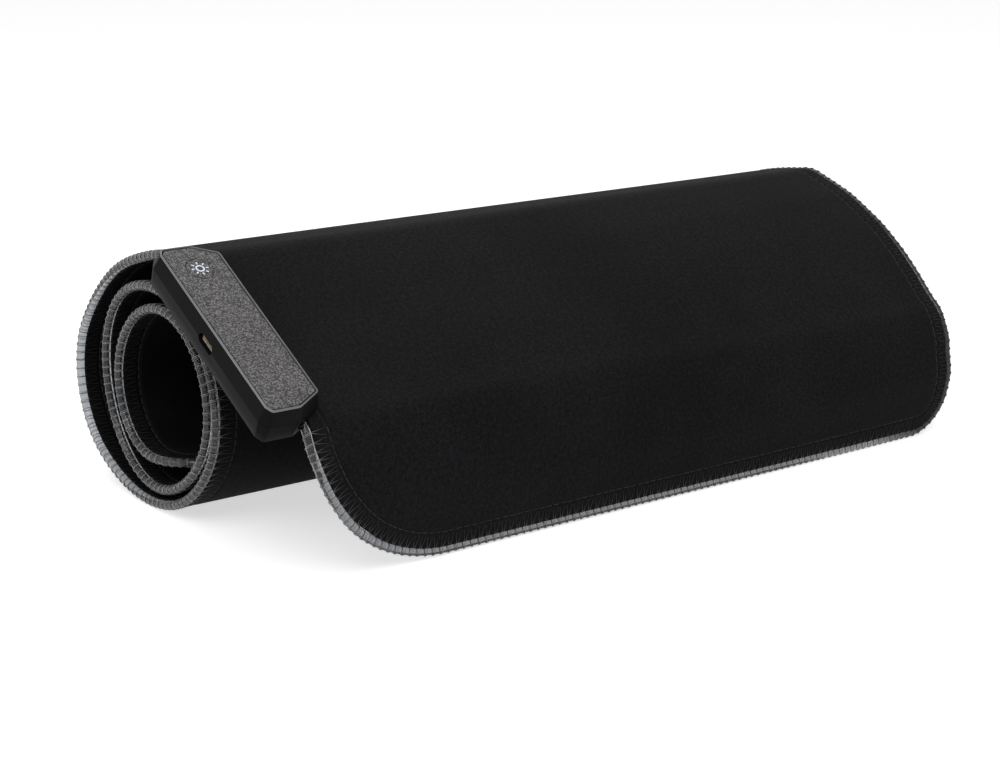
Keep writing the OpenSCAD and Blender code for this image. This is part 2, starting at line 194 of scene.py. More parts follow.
def around(u, e, t):
    """points by distance along the edge u, inward e and outward from the sheet t"""
    g = at(np.asarray(u, float))
    return place(g[:, 0] - g[:, 2] * e, g[:, 1] - g[:, 3] * e, t)


# ---------------------------------------------------------------- small mesh helpers
def mesh_object(name, verts, faces, smooth_shade=True):
    me = bpy.data.meshes.new(name)
    me.from_pydata([tuple(v) for v in verts], [], [tuple(int(i) for i in f) for f in faces])
    me.validate()
    if smooth_shade:
        me.polygons.foreach_set("use_smooth", [True] * len(me.polygons))
    me.update()
    o = bpy.data.objects.new(name, me)
    bpy.context.scene.collection.objects.link(o)
    return o


def fix_normals(o):
    bm = bmesh.new()
    bm.from_mesh(o.data)
    bmesh.ops.recalc_face_normals(bm, faces=bm.faces)
    bm.to_mesh(o.data)
    bm.free()


def tubes(lines, radius, sides):
    """round threads along many lines at once: lines is (count, points, 3)"""
    lines = np.asarray(lines, float)
    n, m, _ = lines.shape
    tan = np.gradient(lines, axis=1)
    tan /= np.linalg.norm(tan, axis=2, keepdims=True) + 1e-12
    ref = np.zeros_like(tan)
    ref[..., 0] = 1
    flat = np.abs(tan[..., 0]) > 0.9
    ref[flat] = (0, 0, 1)
    a = np.cross(tan, ref)
    for k in range(1, m):
        b = a[:, k - 1] - tan[:, k] * np.sum(a[:, k - 1] * tan[:, k], axis=1, keepdims=True)
        a[:, k] = b
    a /= np.linalg.norm(a, axis=2, keepdims=True) + 1e-12
    b = np.cross(tan, a)
    ang = np.arange(sides) * 2 * math.pi / sides
    ring = (a[:, :, None] * np.cos(ang)[None, None, :, None] + b[:, :, None] * np.sin(ang)[None, None, :, None])
    verts = (lines[:, :, None] + ring * radius).reshape(-1, 3)
    base = (np.arange(n) * m * sides)[:, None, None]
    k = (np.arange(m - 1) * sides)[None, :, None]
    j = np.arange(sides)[None, None, :]
    j2 = (j + 1) % sides
    quads = np.stack(np.broadcast_arrays(base + k + j, base + k + j2, base + k + sides + j2, base + k + sides + j),
                     -1).reshape(-1, 4).tolist()
    for q in range(n):
        s0 = q * m * sides
        quads.append(list(range(s0, s0 + sides))[::-1])
        quads.append(list(range(s0 + (m - 1) * sides, s0 + m * sides)))
    return verts, quads


def flat_uv(o, values):
    uv = o.data.uv_layers.new(name="flat")
    idx = np.zeros(len(o.data.loops), int)
    o.data.loops.foreach_get("vertex_index", idx)
    uv.data.foreach_set("uv", np.asarray(values, np.float32)[idx].ravel())


# ---------------------------------------------------------------- the two layers of the sheet
SHEET_IN, HALF = 1.6, 1.5
CLOTH_T, LAYER_GAP = 0.8, 0.002
SEAM_E = 7.3
GROOVE_DEPTH, GROOVE_W, HEM_DEPTH = 0.55, 0.42, 0.16
EDGE_STEP, GRID_S, GRID_X = 2.2, 2.0, 9.2      # mesh spacing along the edge, along the mat and across it
WELL_INSIDE = 99.0      # stands for the distance from the edge of every point inside the last ring
RINGS = [1.6, 2.0, 3.2, 4.6, 5.8, 6.5, 6.9, 7.3, 7.7, 8.2, 9.2, 11.0]


def dent(e):
    """how far the surface is drawn in beside the edge: a needle groove and a flattened hem"""
    e = np.asarray(e, float)
    groove = GROOVE_DEPTH * np.exp(-((e - SEAM_E) / GROOVE_W) ** 2)
    hem = HEM_DEPTH * smooth((SEAM_E - e) / 1.2)
    return groove + hem


def layer(name, top, bottom, sign):
    """a closed layer: the outer face (dented beside the edge), the inner face and the cut edge"""
    last = RINGS[-1]
    ring0 = outline(last, EDGE_STEP)
    n = len(ring0)
    inner = np.array([(s, x) for s in np.arange(last + 2.0, S - last - 1.0, GRID_S)
                      for x in np.arange(last + 6, W - last - 5.0, GRID_X)])

    def inside(p, e):
        lo, hi = np.full(len(p), e), np.full(len(p), W - e)
        for at_s, r, near in ((S - R_NEAR, R_NEAR, True), (S - R_FAR, R_FAR, False)):
            c = np.sqrt(np.clip((r - e) ** 2 - np.clip(p[:, 0] - at_s, 0, None) ** 2, 0, None))
            if near:
                lo = np.maximum(lo, np.where(p[:, 0] > at_s, r - c, e))
            else:
                hi = np.minimum(hi, np.where(p[:, 0] > at_s, W - r + c, W - e))
        c = np.sqrt(np.clip((R_INNER - e) ** 2 - np.clip(R_INNER - p[:, 0], 0, None) ** 2, 0, None))
        bent = p[:, 0] < R_INNER
        lo = np.maximum(lo, np.where(bent, R_INNER - c, e))
        hi = np.minimum(hi, np.where(bent, W - R_INNER + c, W - e))
        return (p[:, 1] > lo) & (p[:, 1] < hi)

    inner = inner[inside(inner, last + 1.0)]
    flat = [Vector(p) for p in np.vstack([ring0[:, :2], inner])]
    got = geometry.delaunay_2d_cdt(flat, [], [list(range(n))], 1, 1e-5)
    co2 = np.array([tuple(v) for v in got[0]])
    if len(co2) != len(flat):
        raise RuntimeError("the sheet's flat mesh gained points")
    tris = [tuple(f) for f in got[2]]
    rings = [outline(e, EDGE_STEP) for e in RINGS[:-1]]
    m = len(co2)
    pos = [co2[:, :2]] + [r[:, :2] for r in rings]
    es = [np.full(m, WELL_INSIDE)] + [np.full(n, e) for e in RINGS[:-1]]
    es[0][:n] = last
    flat_all, e_all = np.vstack(pos), np.concatenate(es)
    count = len(flat_all)
    drawn = dent(e_all)
    fray = 0.05 * RNG.standard_normal(count) * (e_all < 2.5)
    outer = place(flat_all[:, 0], flat_all[:, 1], top - sign * (drawn + fray))
    under = place(flat_all[:, 0], flat_all[:, 1], np.full(count, bottom))
    start = [m + k * n for k in range(len(rings))]

    def strip(a, b):
        return [(a + k, a + (k + 1) % n, b + (k + 1) % n, b + k) for k in range(n)]

    bands = []
    for a, b in zip(start, start[1:] + [0]):
        bands += strip(a, b)
    one = tris + bands
    two = [tuple(i + count for i in f[::-1]) for f in one]
    edge = strip(start[0], start[0] + count)
    o = mesh_object(name, np.vstack([outer, under]), one + two + [f[::-1] for f in edge])
    uv = flat_all * MM
    flat_uv(o, np.vstack([uv, uv]))
    fix_normals(o)
    return o


cloth = layer("mat_cloth", HALF, HALF - CLOTH_T, 1)
rubber = layer("mat_rubber", -HALF, HALF - CLOTH_T - LAYER_GAP, -1)

# ---------------------------------------------------------------- light guide
GUIDE_R = 1.5
GUIDE_END = 33.0        # where each cut end lies, from the controller's middle
GUIDE_STEP = 1.3
PITCH = 3.2             # from one thread wrap to the next
WOBBLE = 0.012          # the guide's radius varies by this share, once for each wrap
u = np.arange(GUIDE_END, TOTAL - GUIDE_END + 0.01, GUIDE_STEP)
sides = 16
rows = []
for k in range(sides):
    a = 2 * math.pi * k / sides
    wob = 1 + WOBBLE * np.sin(u * 2 * math.pi / PITCH + k)
    rows.append(around(u, GUIDE_R * wob * math.cos(a), GUIDE_R * wob * math.sin(a)))
ring = np.stack(rows, 1).reshape(-1, 3)
m = len(u)
faces = [(i * sides + j, i * sides + (j + 1) % sides, (i + 1) * sides + (j + 1) % sides, (i + 1) * sides + j)
         for i in range(m - 1) for j in range(sides)]
faces += [tuple(range(sides))[::-1], tuple(range((m - 1) * sides, m * sides))]
guide = mesh_object("edge_light_guide", ring, faces)

# ---------------------------------------------------------------- overlock threads
first = 41.5            # where the wraps begin, just outside the controller
count = int((TOTAL - 2 * first) / PITCH)
wraps = first + (np.arange(count) + 0.5) * (TOTAL - 2 * first) / count
jit = RNG.normal(0, 0.10, (count, 4))
threads = []


def thread(samples, radius, sides, shade_shift=0.0):
    """samples: arrays (count, points) of u, e, t"""
    uu, ee, tt = samples
    c, p = uu.shape
    pts = around(uu.ravel(), ee.ravel(), tt.ravel()).reshape(c, p, 3)
    # the shift moves a thread towards the darker on-sheet grey: painted shade
    inboard = np.repeat(np.broadcast_to(ee, (c, p)).ravel() + shade_shift, sides)
    threads.append(tubes(pts, radius * MM, sides) + (inboard,))


def thread_object(name):
    verts, quads, inboard, base = [], [], [], 0
    for v, q, e in threads:
        verts.append(v)
        quads += [[i + base for i in f] for f in q]
        inboard.append(e)
        base += len(v)
    o = mesh_object(name, np.vstack(verts), quads)
    e = np.concatenate(inboard)
    flat_uv(o, np.column_stack([np.clip((e - 0.6) / 3.4, 0, 1), e / 10]))
    return o


RT = GUIDE_R + 0.13
# the loop over the guide, from the cloth side round the outside to the rubber side, leaning a little
LOOP_POINTS = 15
WRAP_R, STRAND_R, LEG_R, NEEDLE_R = 0.15, 0.075, 0.07, 0.16
INSIDE_SHADE = 3.0        # painted shade: added to the inboard distance on the rubber side, which paints the threads there darker, as the inside of the roll lies in shade
loop_e = -RT * np.cos(np.radians(np.linspace(-100, 100, LOOP_POINTS)))
loop_t = RT * np.sin(np.radians(np.linspace(100, -100, LOOP_POINTS)))
lean = np.linspace(-0.28, 0.28, LOOP_POINTS)
thread((wraps[:, None] + lean[None] + jit[:, :1], np.broadcast_to(loop_e, (count, LOOP_POINTS)),
        np.broadcast_to(loop_t, (count, LOOP_POINTS))), WRAP_R, 6)
# a second, finer strand close beside it, as the looper lays two
thread((wraps[:, None] + 0.42 + 0.8 * lean[None] + jit[:, 1:2],
        np.broadcast_to(loop_e * 1.01, (count, LOOP_POINTS)),
        np.broadcast_to(loop_t * 1.01, (count, LOOP_POINTS))), STRAND_R, 5)
# legs of each V on both faces, from the loop to the needle hole
for side in (1, -1):
    n_leg = 7
    f = np.linspace(0, 1, n_leg)
    e_leg = 0.12 + (SEAM_E - 0.35 - 0.12) * f
    t_leg = side * (RT * 0.99 + (HALF + 0.02 - RT * 0.99) * smooth(f * 2.4)) * np.ones(n_leg)
    t_leg = t_leg - side * (np.array([dent(e) if e > 1.8 else 0.0 for e in e_leg]) - 0.04)
    t_leg[-1] -= side * 0.35
    half = 0.5 * (TOTAL - 2 * first) / count
    for way, gain in ((1, 0.90), (-1, 0.72)):
        shift = way * half * gain * f
        thread((wraps[:, None] + lean[0] * side + shift[None] + jit[:, 2:3] * f[None] * 1.6
                + jit[:, :1] * (1 - f[None]),
                np.broadcast_to(e_leg, (count, n_leg)) + jit[:, 3:4] * f[None] * 1.2,
                np.broadcast_to(t_leg, (count, n_leg))), LEG_R, 4, 0.0 if side > 0 else INSIDE_SHADE)
overlock = thread_object("edge_overlock_threads")

# ---------------------------------------------------------------- needle thread in its groove
threads = []
spots = first + (np.arange(count)) * (TOTAL - 2 * first) / count
for side in (1, -1):
    f = np.linspace(0, 1, 6)
    depth = side * (HALF - 0.50 + 0.22 * np.sin(np.pi * f))
    thread((spots[:, None] + 0.3 + 2.6 * f[None] + jit[:, :1], np.full((count, 6), SEAM_E) + 0.3 * jit[:, 1:2],
            np.broadcast_to(depth, (count, 6))), NEEDLE_R, 5)
needle = thread_object("needle_stitches")

# ---------------------------------------------------------------- controller frame and helpers
_y, _z, _ = section(np.array([CLAMP_MID]))
SL = math.radians(SLOPE)
CLAMP = Matrix(((1, 0, 0, SHIFT[0] * MM),
                (0, math.cos(SL), -math.sin(SL), (_y[0] + SHIFT[1]) * MM),
                (0, math.sin(SL), math.cos(SL), (_z[0] + SHIFT[2]) * MM),
                (0, 0, 0, 1)))
CF = np.array(CLAMP)


def clamp(p):
    """controller frame in mm (across, up the slope, outward) to the row frame in metres"""
    p = np.asarray(p, float) * MM
    return p @ CF[:3, :3].T + CF[:3, 3]


X_IN, X_OUT, HALF_L, PART_Z = 5.4, -15.4, 39.5, 4.0
IN_CUT, OUT_CUT = (5, 9.2), (2.6, 1.4)          # the cut corners: along the box, across it
CAVITY_Y, WALL = 33.4, 1.5
SCREW_X, SCREW_Y, HEAD_R = (-11, -5.4), (-35.5, 35.5), 1.85


def leg(this, other, d):
    """one leg of a cut corner after the whole outline has moved out by d"""
    return d + this - d * (math.hypot(this, other) - this) / other


def octagon(d, fillet, steps=5):
    """the controller's eight-sided outline moved out by d, its corners rounded"""
    il, iw, ol, ow = leg(*IN_CUT, d), leg(*IN_CUT[::-1], d), leg(*OUT_CUT, d), leg(*OUT_CUT[::-1], d)
    hl = HALF_L + d
    pts = [(X_IN + d, il - hl), (X_IN + d, hl - il), (X_IN + d - iw, hl), (X_OUT - d + ow, hl),
           (X_OUT - d, hl - ol), (X_OUT - d, ol - hl), (X_OUT - d + ow, -hl), (X_IN + d - iw, -hl)]
    pts = [np.array(p) for p in pts]
    out = []
    for k, p in enumerate(pts):
        a, b = pts[k - 1] - p, pts[(k + 1) % 8] - p
        la, lb = np.linalg.norm(a), np.linalg.norm(b)
        a, b = a / la, b / lb
        half = math.acos(np.clip(-np.dot(a, b), -1, 1)) / 2
        t = min(fillet * math.tan(half), 0.42 * la, 0.42 * lb)
        r = t / math.tan(half)
        c = p + (a + b) / np.linalg.norm(a + b) * r / math.cos(half)
        v0, v1 = p + a * t - c, p + b * t - c
        for j in range(steps + 1):
            f = j / steps
            v = v0 * math.sin((1 - f) * 2 * half) + v1 * math.sin(f * 2 * half)
            v = v / math.sin(2 * half)
            out.append(c + v / np.linalg.norm(v) * r)
    return np.array(out)


def loft(name, levels, fillet=1.3, closed_ring=False):
    """a skin over rounded eight-sided outlines: levels are (height, offset)"""
    loops = [np.insert(octagon(d, fillet), 2, z, axis=1) for z, d in levels]
    n = len(loops[0])
    faces = []
    total = len(loops)
    for k in range(total if closed_ring else total - 1):
        a, b = k * n, ((k + 1) % total) * n
        faces += [(a + j, a + (j + 1) % n, b + (j + 1) % n, b + j) for j in range(n)]
    if not closed_ring:
        faces += [tuple(range(n))[::-1], tuple(range((total - 1) * n, total * n))]
    o = mesh_object(name, clamp(np.vstack(loops)), faces)
    fix_normals(o)
    return o


def cutter_box(a, b):
    v = [(x, y, z) for x in (a[0], b[0]) for y in (a[1], b[1]) for z in (a[2], b[2])]
    f = [(0, 1, 3, 2), (4, 6, 7, 5), (0, 4, 5, 1), (2, 3, 7, 6), (0, 2, 6, 4), (1, 5, 7, 3)]
    o = mesh_object("cutter", clamp(v), f, False)
    fix_normals(o)
    return o


def prism(points, axis, a, b, name="cutter"):
    """a flat outline drawn out along one axis of the controller frame"""
    pts = np.asarray(points, float)
    n = len(pts)
    rows = []
    for level in (a, b):
        full = np.full((n, 3), level, float)
        full[:, [k for k in range(3) if k != axis]] = pts
        rows.append(full)
    f = [tuple(range(n))[::-1], tuple(range(n, 2 * n))]
    f += [(j, (j + 1) % n, n + (j + 1) % n, n + j) for j in range(n)]
    o = mesh_object(name, clamp(np.vstack(rows)), f, False)
    fix_normals(o)
    return o


def circle_pts(cx, cy, r, n=40):
    a = np.arange(n) * 2 * math.pi / n
    return np.column_stack([cx + r * np.cos(a), cy + r * np.sin(a)])


def stadium(cy, cz, half, r, n=12):
    a = np.linspace(-math.pi / 2, math.pi / 2, n)
    right = np.column_stack([cy + half - r + r * np.cos(a), cz + r * np.sin(a)])
    left = np.column_stack([cy - half + r - r * np.cos(a), cz - r * np.sin(a)])
    return np.vstack([right, left])


def carve(o, cutters, angle=32):
    for k, c in enumerate(cutters):
        m = o.modifiers.new(f"cut{k}", "BOOLEAN")
        m.operation, m.solver, m.object = "DIFFERENCE", "EXACT", c
    bpy.context.view_layer.update()
    dg = bpy.context.evaluated_depsgraph_get()
    me = bpy.data.meshes.new_from_object(o.evaluated_get(dg))
    o.modifiers.clear()
    o.data = me
    for c in cutters:
        bpy.data.objects.remove(c)
    soften(o, angle)


def soften(o, angle=32):
    o.data.polygons.foreach_set("use_smooth", [True] * len(o.data.polygons))
    o.data.set_sharp_from_angle(angle=math.radians(angle))


BX, BY, BR = -5.2, 28.0, 4.7
USB_Y, USB_Z = -0.7, 3.8


def socket_mouth():
    return prism(stadium(USB_Y, USB_Z, 4.55, 1.8), 0, X_OUT - 3, X_OUT + 2.5)


upper = loft("controller_upper_shell", [
    (2.12, 1.18), (2.3, 1.3), (4.0, 1.3), (4.6, 1.17), (6.6, 0.63), (8.55, 0.13), (8.8, 0.05), (8.95, -0.06),
    (9.0, -0.2), (9.0, -0.93)])
carve(upper, [
    cutter_box((X_OUT - 4, -50, 0), (-1.9, 50, PART_Z + 0.05)),
    cutter_box((X_OUT + WALL, -CAVITY_Y, 1), (-3, CAVITY_Y, 7.4)),
    socket_mouth(),
    prism(stadium(USB_Y, USB_Z, 3.8, 1.35), 0, X_OUT + 1, X_OUT + 5.7),
    prism(circle_pts(BX, BY, BR + 0.25), 2, 0, 12),
])
lower = loft("controller_lower_shell", [
    (-3.3, -0.5), (-3.3, 0.1), (-3.2, 0.33), (-2.95, 0.5), (0, 0.83), (3.6, 1.24), (3.85, 1.24), (3.95, 1.14),
    (3.95, 0.6)])
carve(lower, [
    cutter_box((-2.1, -50, -1.9), (9, 50, 6)),
    cutter_box((X_OUT + WALL, -CAVITY_Y, -1.8), (-2.3, CAVITY_Y, 6)),
    socket_mouth(),
] + [prism(circle_pts(x, y, HEAD_R, 24), 2, -5, -1.9) for x in SCREW_X for y in SCREW_Y])

rim = loft("controller_bevel_rim", [
    (9.02, -0.02), (9.3, 0.0), (9.45, -0.02), (9.72, -0.14), (9.8, -0.26), (9.8, -0.36), (9.7, -0.44),
    (9.3, -0.48), (9.02, -0.5)], closed_ring=True)
soften(rim, 40)


def bumpy(x, y, seed):
    """leather-like grain height, in mm"""
    out = np.zeros(len(x))
    for k in range(len(x)):
        a = noise.noise(Vector((x[k] * 1.15, y[k] * 1.15, seed)))
        b = noise.noise(Vector((x[k] * 2.6, y[k] * 2.6, seed + 9)))
        out[k] = 0.07 * a + 0.045 * b
    return out


def textured_slab(name, outer, hole, top, bottom, seed, step=0.42):
    """a plate with a grained top: outline, an optional round hole, walls and a flat underside"""
    lo, hi = outer.min(0), outer.max(0)
    gx, gy = np.meshgrid(np.arange(lo[0], hi[0], step), np.arange(lo[1], hi[1], step))
    pts = np.column_stack([gx.ravel(), gy.ravel()]) + RNG.uniform(-0.1, 0.1, (gx.size, 2))

    def dist_in(p, poly):
        d = np.roll(poly, -1, axis=0) - poly
        nrm = np.column_stack([d[:, 1], -d[:, 0]]) / np.linalg.norm(d, axis=1, keepdims=True)
        nrm *= np.sign(((poly - poly.mean(0)) * nrm).sum(1))[:, None]
        return -((p[:, None] - poly[None]) * nrm[None]).sum(2).max(1)

    keep = dist_in(pts, outer) > 0.22
    if hole is not None:
        keep &= np.linalg.norm(pts - hole.mean(0), axis=1) > np.linalg.norm(hole[0] - hole.mean(0)) + 0.22
    pts = pts[keep]
    loops = [outer] + ([hole] if hole is not None else [])
    edges, base = [], 0
    for l in loops:
        edges += [(base + j, base + (j + 1) % len(l)) for j in range(len(l))]
        base += len(l)
    flat = [Vector(p) for p in np.vstack(loops + [pts])]
    got = geometry.delaunay_2d_cdt(flat, edges, [], 2 if hole is None else 0, 1e-5)
    co = np.array([tuple(v) for v in got[0]])
    tri = [tuple(f) for f in got[2]]
    if hole is not None:
        c, r = hole.mean(0), np.linalg.norm(hole[0] - hole.mean(0))
        tri = [f for f in tri if np.linalg.norm(co[list(f)].mean(0) - c) > r - 0.02]
    z = top + bumpy(co[:, 0], co[:, 1], seed)
    z[:base] = top - 0.06
    n = len(co)
    verts = np.vstack([np.column_stack([co, z]), np.column_stack([co[:base], np.full(base, bottom)])])
    faces, k0 = list(tri), 0
    for l in loops:
        for j in range(len(l)):
            a, b = k0 + j, k0 + (j + 1) % len(l)
            faces.append((a, b, n + b, n + a))
        k0 += len(l)
    o = mesh_object(name, clamp(verts), faces)
    bm = bmesh.new()
    bm.from_mesh(o.data)
    bm.verts.ensure_lookup_table()
    border = [e for e in bm.edges if e.is_boundary]
    bmesh.ops.triangle_fill(bm, use_beauty=True, edges=border)
    bmesh.ops.recalc_face_normals(bm, faces=bm.faces)
    bm.to_mesh(o.data)
    bm.free()
    soften(o, 50)
    return o


PLATE_TOP, GRAIN_SEED = 9.5, 3.1
plate = textured_slab("controller_grained_plate", octagon(-0.95, 1.2), circle_pts(BX, BY, BR + 0.22, 56),
                      PLATE_TOP, 9.02, GRAIN_SEED)
cap = textured_slab("mode_button_cap", circle_pts(BX, BY, BR, 56), None, PLATE_TOP, 6.9, GRAIN_SEED)


# ---------------------------------------------------------------- materials
def new_mat(name, color, rough, **sockets):
    m = bpy.data.materials.new(name)
    m.use_nodes = True
    nt = m.node_tree
    b = nt.nodes["Principled BSDF"]
    b.inputs["Base Color"].default_value = (*color, 1)
    b.inputs["Roughness"].default_value = rough
    for k, v in sockets.items():
        b.inputs[k.replace("_", " ")].default_value = v
    return m, nt, b


def node(nt, kind, **kw):
    n = nt.nodes.new(kind)
    for k, v in kw.items():
        if k in n.inputs:
            n.inputs[k].default_value = v
        else:
            setattr(n, k, v)
    return n


def noise_tex(nt, vec, scale, detail=3.0, rough=0.55):
    n = node(nt, "ShaderNodeTexNoise", Scale=scale, Detail=detail, Roughness=rough)
    nt.links.new(vec, n.inputs["Vector"])
    return n.outputs["Fac"]


def ramp(nt, fac, stops):
    r = nt.nodes.new("ShaderNodeValToRGB")
    el = r.color_ramp.elements
    while len(el) < len(stops):
        el.new(0.5)
    for e, (p, c) in zip(el, stops):
        e.position = p
        e.color = (*c, 1)
    nt.links.new(fac, r.inputs["Fac"])
    return r.outputs["Color"]


def grey(v, tint=(1, 1, 1)):
    return tuple(v * t for t in tint)


def math_node(nt, op, a, b=None):
    n = node(nt, "ShaderNodeMath", operation=op)
    for k, v in enumerate((a, b)):
        if v is None:
            continue
        if isinstance(v, (int, float)):
            n.inputs[k].default_value = v
        else:
            nt.links.new(v, n.inputs[k])
    return n.outputs[0]


def bump(nt, bsdf, height, strength, distance):
    b = node(nt, "ShaderNodeBump", Strength=strength, Distance=distance)
    nt.links.new(height, b.inputs["Height"])
    nt.links.new(b.outputs["Normal"], bsdf.inputs["Normal"])


def rough_range(nt, bsdf, fac, lo, hi):
    m = node(nt, "ShaderNodeMapRange")
    m.inputs["To Min"].default_value, m.inputs["To Max"].default_value = lo, hi
    nt.links.new(fac, m.inputs["Value"])
    nt.links.new(m.outputs["Result"], bsdf.inputs["Roughness"])


def coords(nt):
    return nt.nodes.new("ShaderNodeTexCoord").outputs["Object"]


def grained(name, color, rough, grain, depth, spread=0.25, **sockets):
    """moulded plastic, metal or rubber: mottled colour, varied roughness, fine grain"""
    m, nt, b = new_mat(name, color, rough, **sockets)
    c = coords(nt)
    big = noise_tex(nt, c, 55, 3)
    fine = noise_tex(nt, c, grain, 2, 0.6)
    dark, pale = (tuple(x * k for x in color) for k in (1 - spread, 1 + spread))
    nt.links.new(ramp(nt, big, [(0.3, dark), (0.7, pale)]), b.inputs["Base Color"])
    rough_range(nt, b, big, max(0.05, rough - 0.07), min(1, rough + 0.07))
    bump(nt, b, fine, 0.35, depth)
    return m


WEAVE = 0.00046         # from one thread of the cloth to the next, in metres


def cloth_mat():
    m, nt, b = new_mat("woven_black_cloth", grey(0.0095), 0.85)
    b.inputs["Sheen Weight"].default_value = 0.015
    b.inputs["Sheen Roughness"].default_value = 0.45
    b.inputs["Specular IOR Level"].default_value = 0.05
    uv = nt.nodes.new("ShaderNodeUVMap")
    uv.uv_map = "flat"
    sep = nt.nodes.new("ShaderNodeSeparateXYZ")
    nt.links.new(uv.outputs["UV"], sep.inputs[0])
    k = 2 * math.pi / WEAVE
    wu = math_node(nt, "SINE", math_node(nt, "MULTIPLY", sep.outputs["X"], k))
    wv = math_node(nt, "SINE", math_node(nt, "MULTIPLY", sep.outputs["Y"], k))
    weave = math_node(nt, "MULTIPLY", wu, wv)
    fibre = noise_tex(nt, uv.outputs["UV"], 1500, 2, 0.7)
    cloudy = noise_tex(nt, uv.outputs["UV"], 16, 4, 0.6)
    mid = noise_tex(nt, uv.outputs["UV"], 650, 3, 0.6)
    mixed = math_node(nt, "ADD", math_node(nt, "MULTIPLY", mid, 0.35), math_node(nt, "MULTIPLY", cloudy, 0.25))
    mixed = math_node(nt, "ADD", mixed, math_node(nt, "MULTIPLY", fibre, 0.4))
    nt.links.new(ramp(nt, mixed, [(0.40, (0.0036, 0.0034, 0.0039)), (0.50, (0.0080, 0.0076, 0.0084)),
                                  (0.61, (0.0156, 0.0148, 0.0162))]), b.inputs["Base Color"])
    height = math_node(nt, "ADD", math_node(nt, "MULTIPLY", weave, 0.5), fibre)
    bump(nt, b, height, 0.5, 0.00012)
    rough_range(nt, b, cloudy, 0.74, 0.88)
    return m


def rubber_mat():
    m, nt, b = new_mat("matt_black_rubber", grey(0.004), 0.75)
    b.inputs["Specular IOR Level"].default_value = 0.06
    c = coords(nt)
    fine = noise_tex(nt, c, 2200, 2, 0.6)
    big = noise_tex(nt, c, 60, 3)
    nt.links.new(ramp(nt, big, [(0.3, grey(0.003)), (0.7, (0.0056, 0.0054, 0.0054))]), b.inputs["Base Color"])
    bump(nt, b, fine, 0.4, 0.0001)
    rough_range(nt, b, big, 0.62, 0.8)
    return m


FAR_SHADE_FROM, FAR_SHADE_FULL = 0.118, 0.146    # X in metres where the painted shade along the far edge begins and is full


def far_edge_shade(nt, c):
    """a mask for painted shade: 0 along the controller's edge, 1 along the far edge, which is painted darker"""
    sep = nt.nodes.new("ShaderNodeSeparateXYZ")
    nt.links.new(c, sep.inputs[0])
    m = node(nt, "ShaderNodeMapRange")
    m.inputs["From Min"].default_value, m.inputs["From Max"].default_value = FAR_SHADE_FROM, FAR_SHADE_FULL
    nt.links.new(sep.outputs["X"], m.inputs["Value"])
    return m.outputs["Result"]


def blend(nt, fac, a, b):
    m = node(nt, "ShaderNodeMix", data_type="RGBA")
    nt.links.new(fac, m.inputs[0])
    nt.links.new(a, m.inputs[6])
    nt.links.new(b, m.inputs[7])
    return m.outputs[2]


def guide_mat():
    m, nt, b = new_mat("clear_guide_silicone", (0.5, 0.51, 0.53), 0.2)
    b.inputs["Transmission Weight"].default_value = 0.97
    b.inputs["IOR"].default_value = 1.42
    b.inputs["Specular IOR Level"].default_value = 0.3
    c = coords(nt)
    n = noise_tex(nt, c, 420, 3)
    near = ramp(nt, n, [(0.3, (0.27, 0.28, 0.295)), (0.7, (0.34, 0.35, 0.37))])
    # painted shade: along the far edge the clear guide gets a near-black colour instead of its own grey
    far = ramp(nt, n, [(0.3, (0.012, 0.012, 0.013)), (0.7, (0.03, 0.03, 0.032))])
    nt.links.new(blend(nt, far_edge_shade(nt, c), near, far), b.inputs["Base Color"])
    rough_range(nt, b, n, 0.08, 0.13)
    bump(nt, b, n, 0.04, 0.0001)
    return m


def thread_mat(name, loop, leg, tint, rough=0.5):
    """loop and leg: darkest and lightest grey of the part over the guide and of the part on the sheet"""
    m, nt, b = new_mat(name, grey(sum(loop) / 2, tint), rough)
    b.inputs["Specular IOR Level"].default_value = 0.25
    c = coords(nt)
    n = noise_tex(nt, c, 900, 2)
    spots = noise_tex(nt, c, 180, 2)
    f = math_node(nt, "ADD", math_node(nt, "MULTIPLY", n, 0.5), math_node(nt, "MULTIPLY", spots, 0.5))
    uv = nt.nodes.new("ShaderNodeUVMap")
    uv.uv_map = "flat"
    sep = nt.nodes.new("ShaderNodeSeparateXYZ")
    nt.links.new(uv.outputs["UV"], sep.inputs[0])
    near, on_sheet = (ramp(nt, f, [(0.35, grey(lo, tint)), (0.65, grey(hi, tint))]) for lo, hi in (loop, leg))
    # painted shade: over the guide the threads are painted nearly black along the far edge
    far = ramp(nt, f, [(0.35, grey(0.016, tint)), (0.65, grey(0.045, tint))])
    over_guide = blend(nt, far_edge_shade(nt, c), near, far)
    nt.links.new(blend(nt, sep.outputs["X"], over_guide, on_sheet), b.inputs["Base Color"])
    twist = node(nt, "ShaderNodeTexWave", wave_type="BANDS", bands_direction="DIAGONAL",
                 Scale=1400.0, Distortion=1.5)
    nt.links.new(c, twist.inputs["Vector"])
    bump(nt, b, twist.outputs["Fac"], 0.4, 0.00005)
    return m


def plate_mat(name):
    m, nt, b = new_mat(name, grey(0.1), 0.42)
    b.inputs["Specular IOR Level"].default_value = 0.3
    c = coords(nt)
    vor = node(nt, "ShaderNodeTexVoronoi", Scale=2500.0)
    nt.links.new(c, vor.inputs["Vector"])
    sep = nt.nodes.new("ShaderNodeSeparateColor")
    nt.links.new(vor.outputs["Color"], sep.inputs[0])
    n = noise_tex(nt, c, 2200, 3, 0.65)
    f = math_node(nt, "ADD", math_node(nt, "MULTIPLY", sep.outputs["Red"], 0.5), math_node(nt, "MULTIPLY", n, 0.5))
    nt.links.new(ramp(nt, f, [(0.30, (0.008, 0.0076, 0.0077)), (0.5, (0.040, 0.038, 0.0385)),
                              (0.68, (0.19, 0.18, 0.18))]), b.inputs["Base Color"])
    rough_range(nt, b, n, 0.28, 0.6)
    bump(nt, b, f, 0.55, 0.00018)
    return m


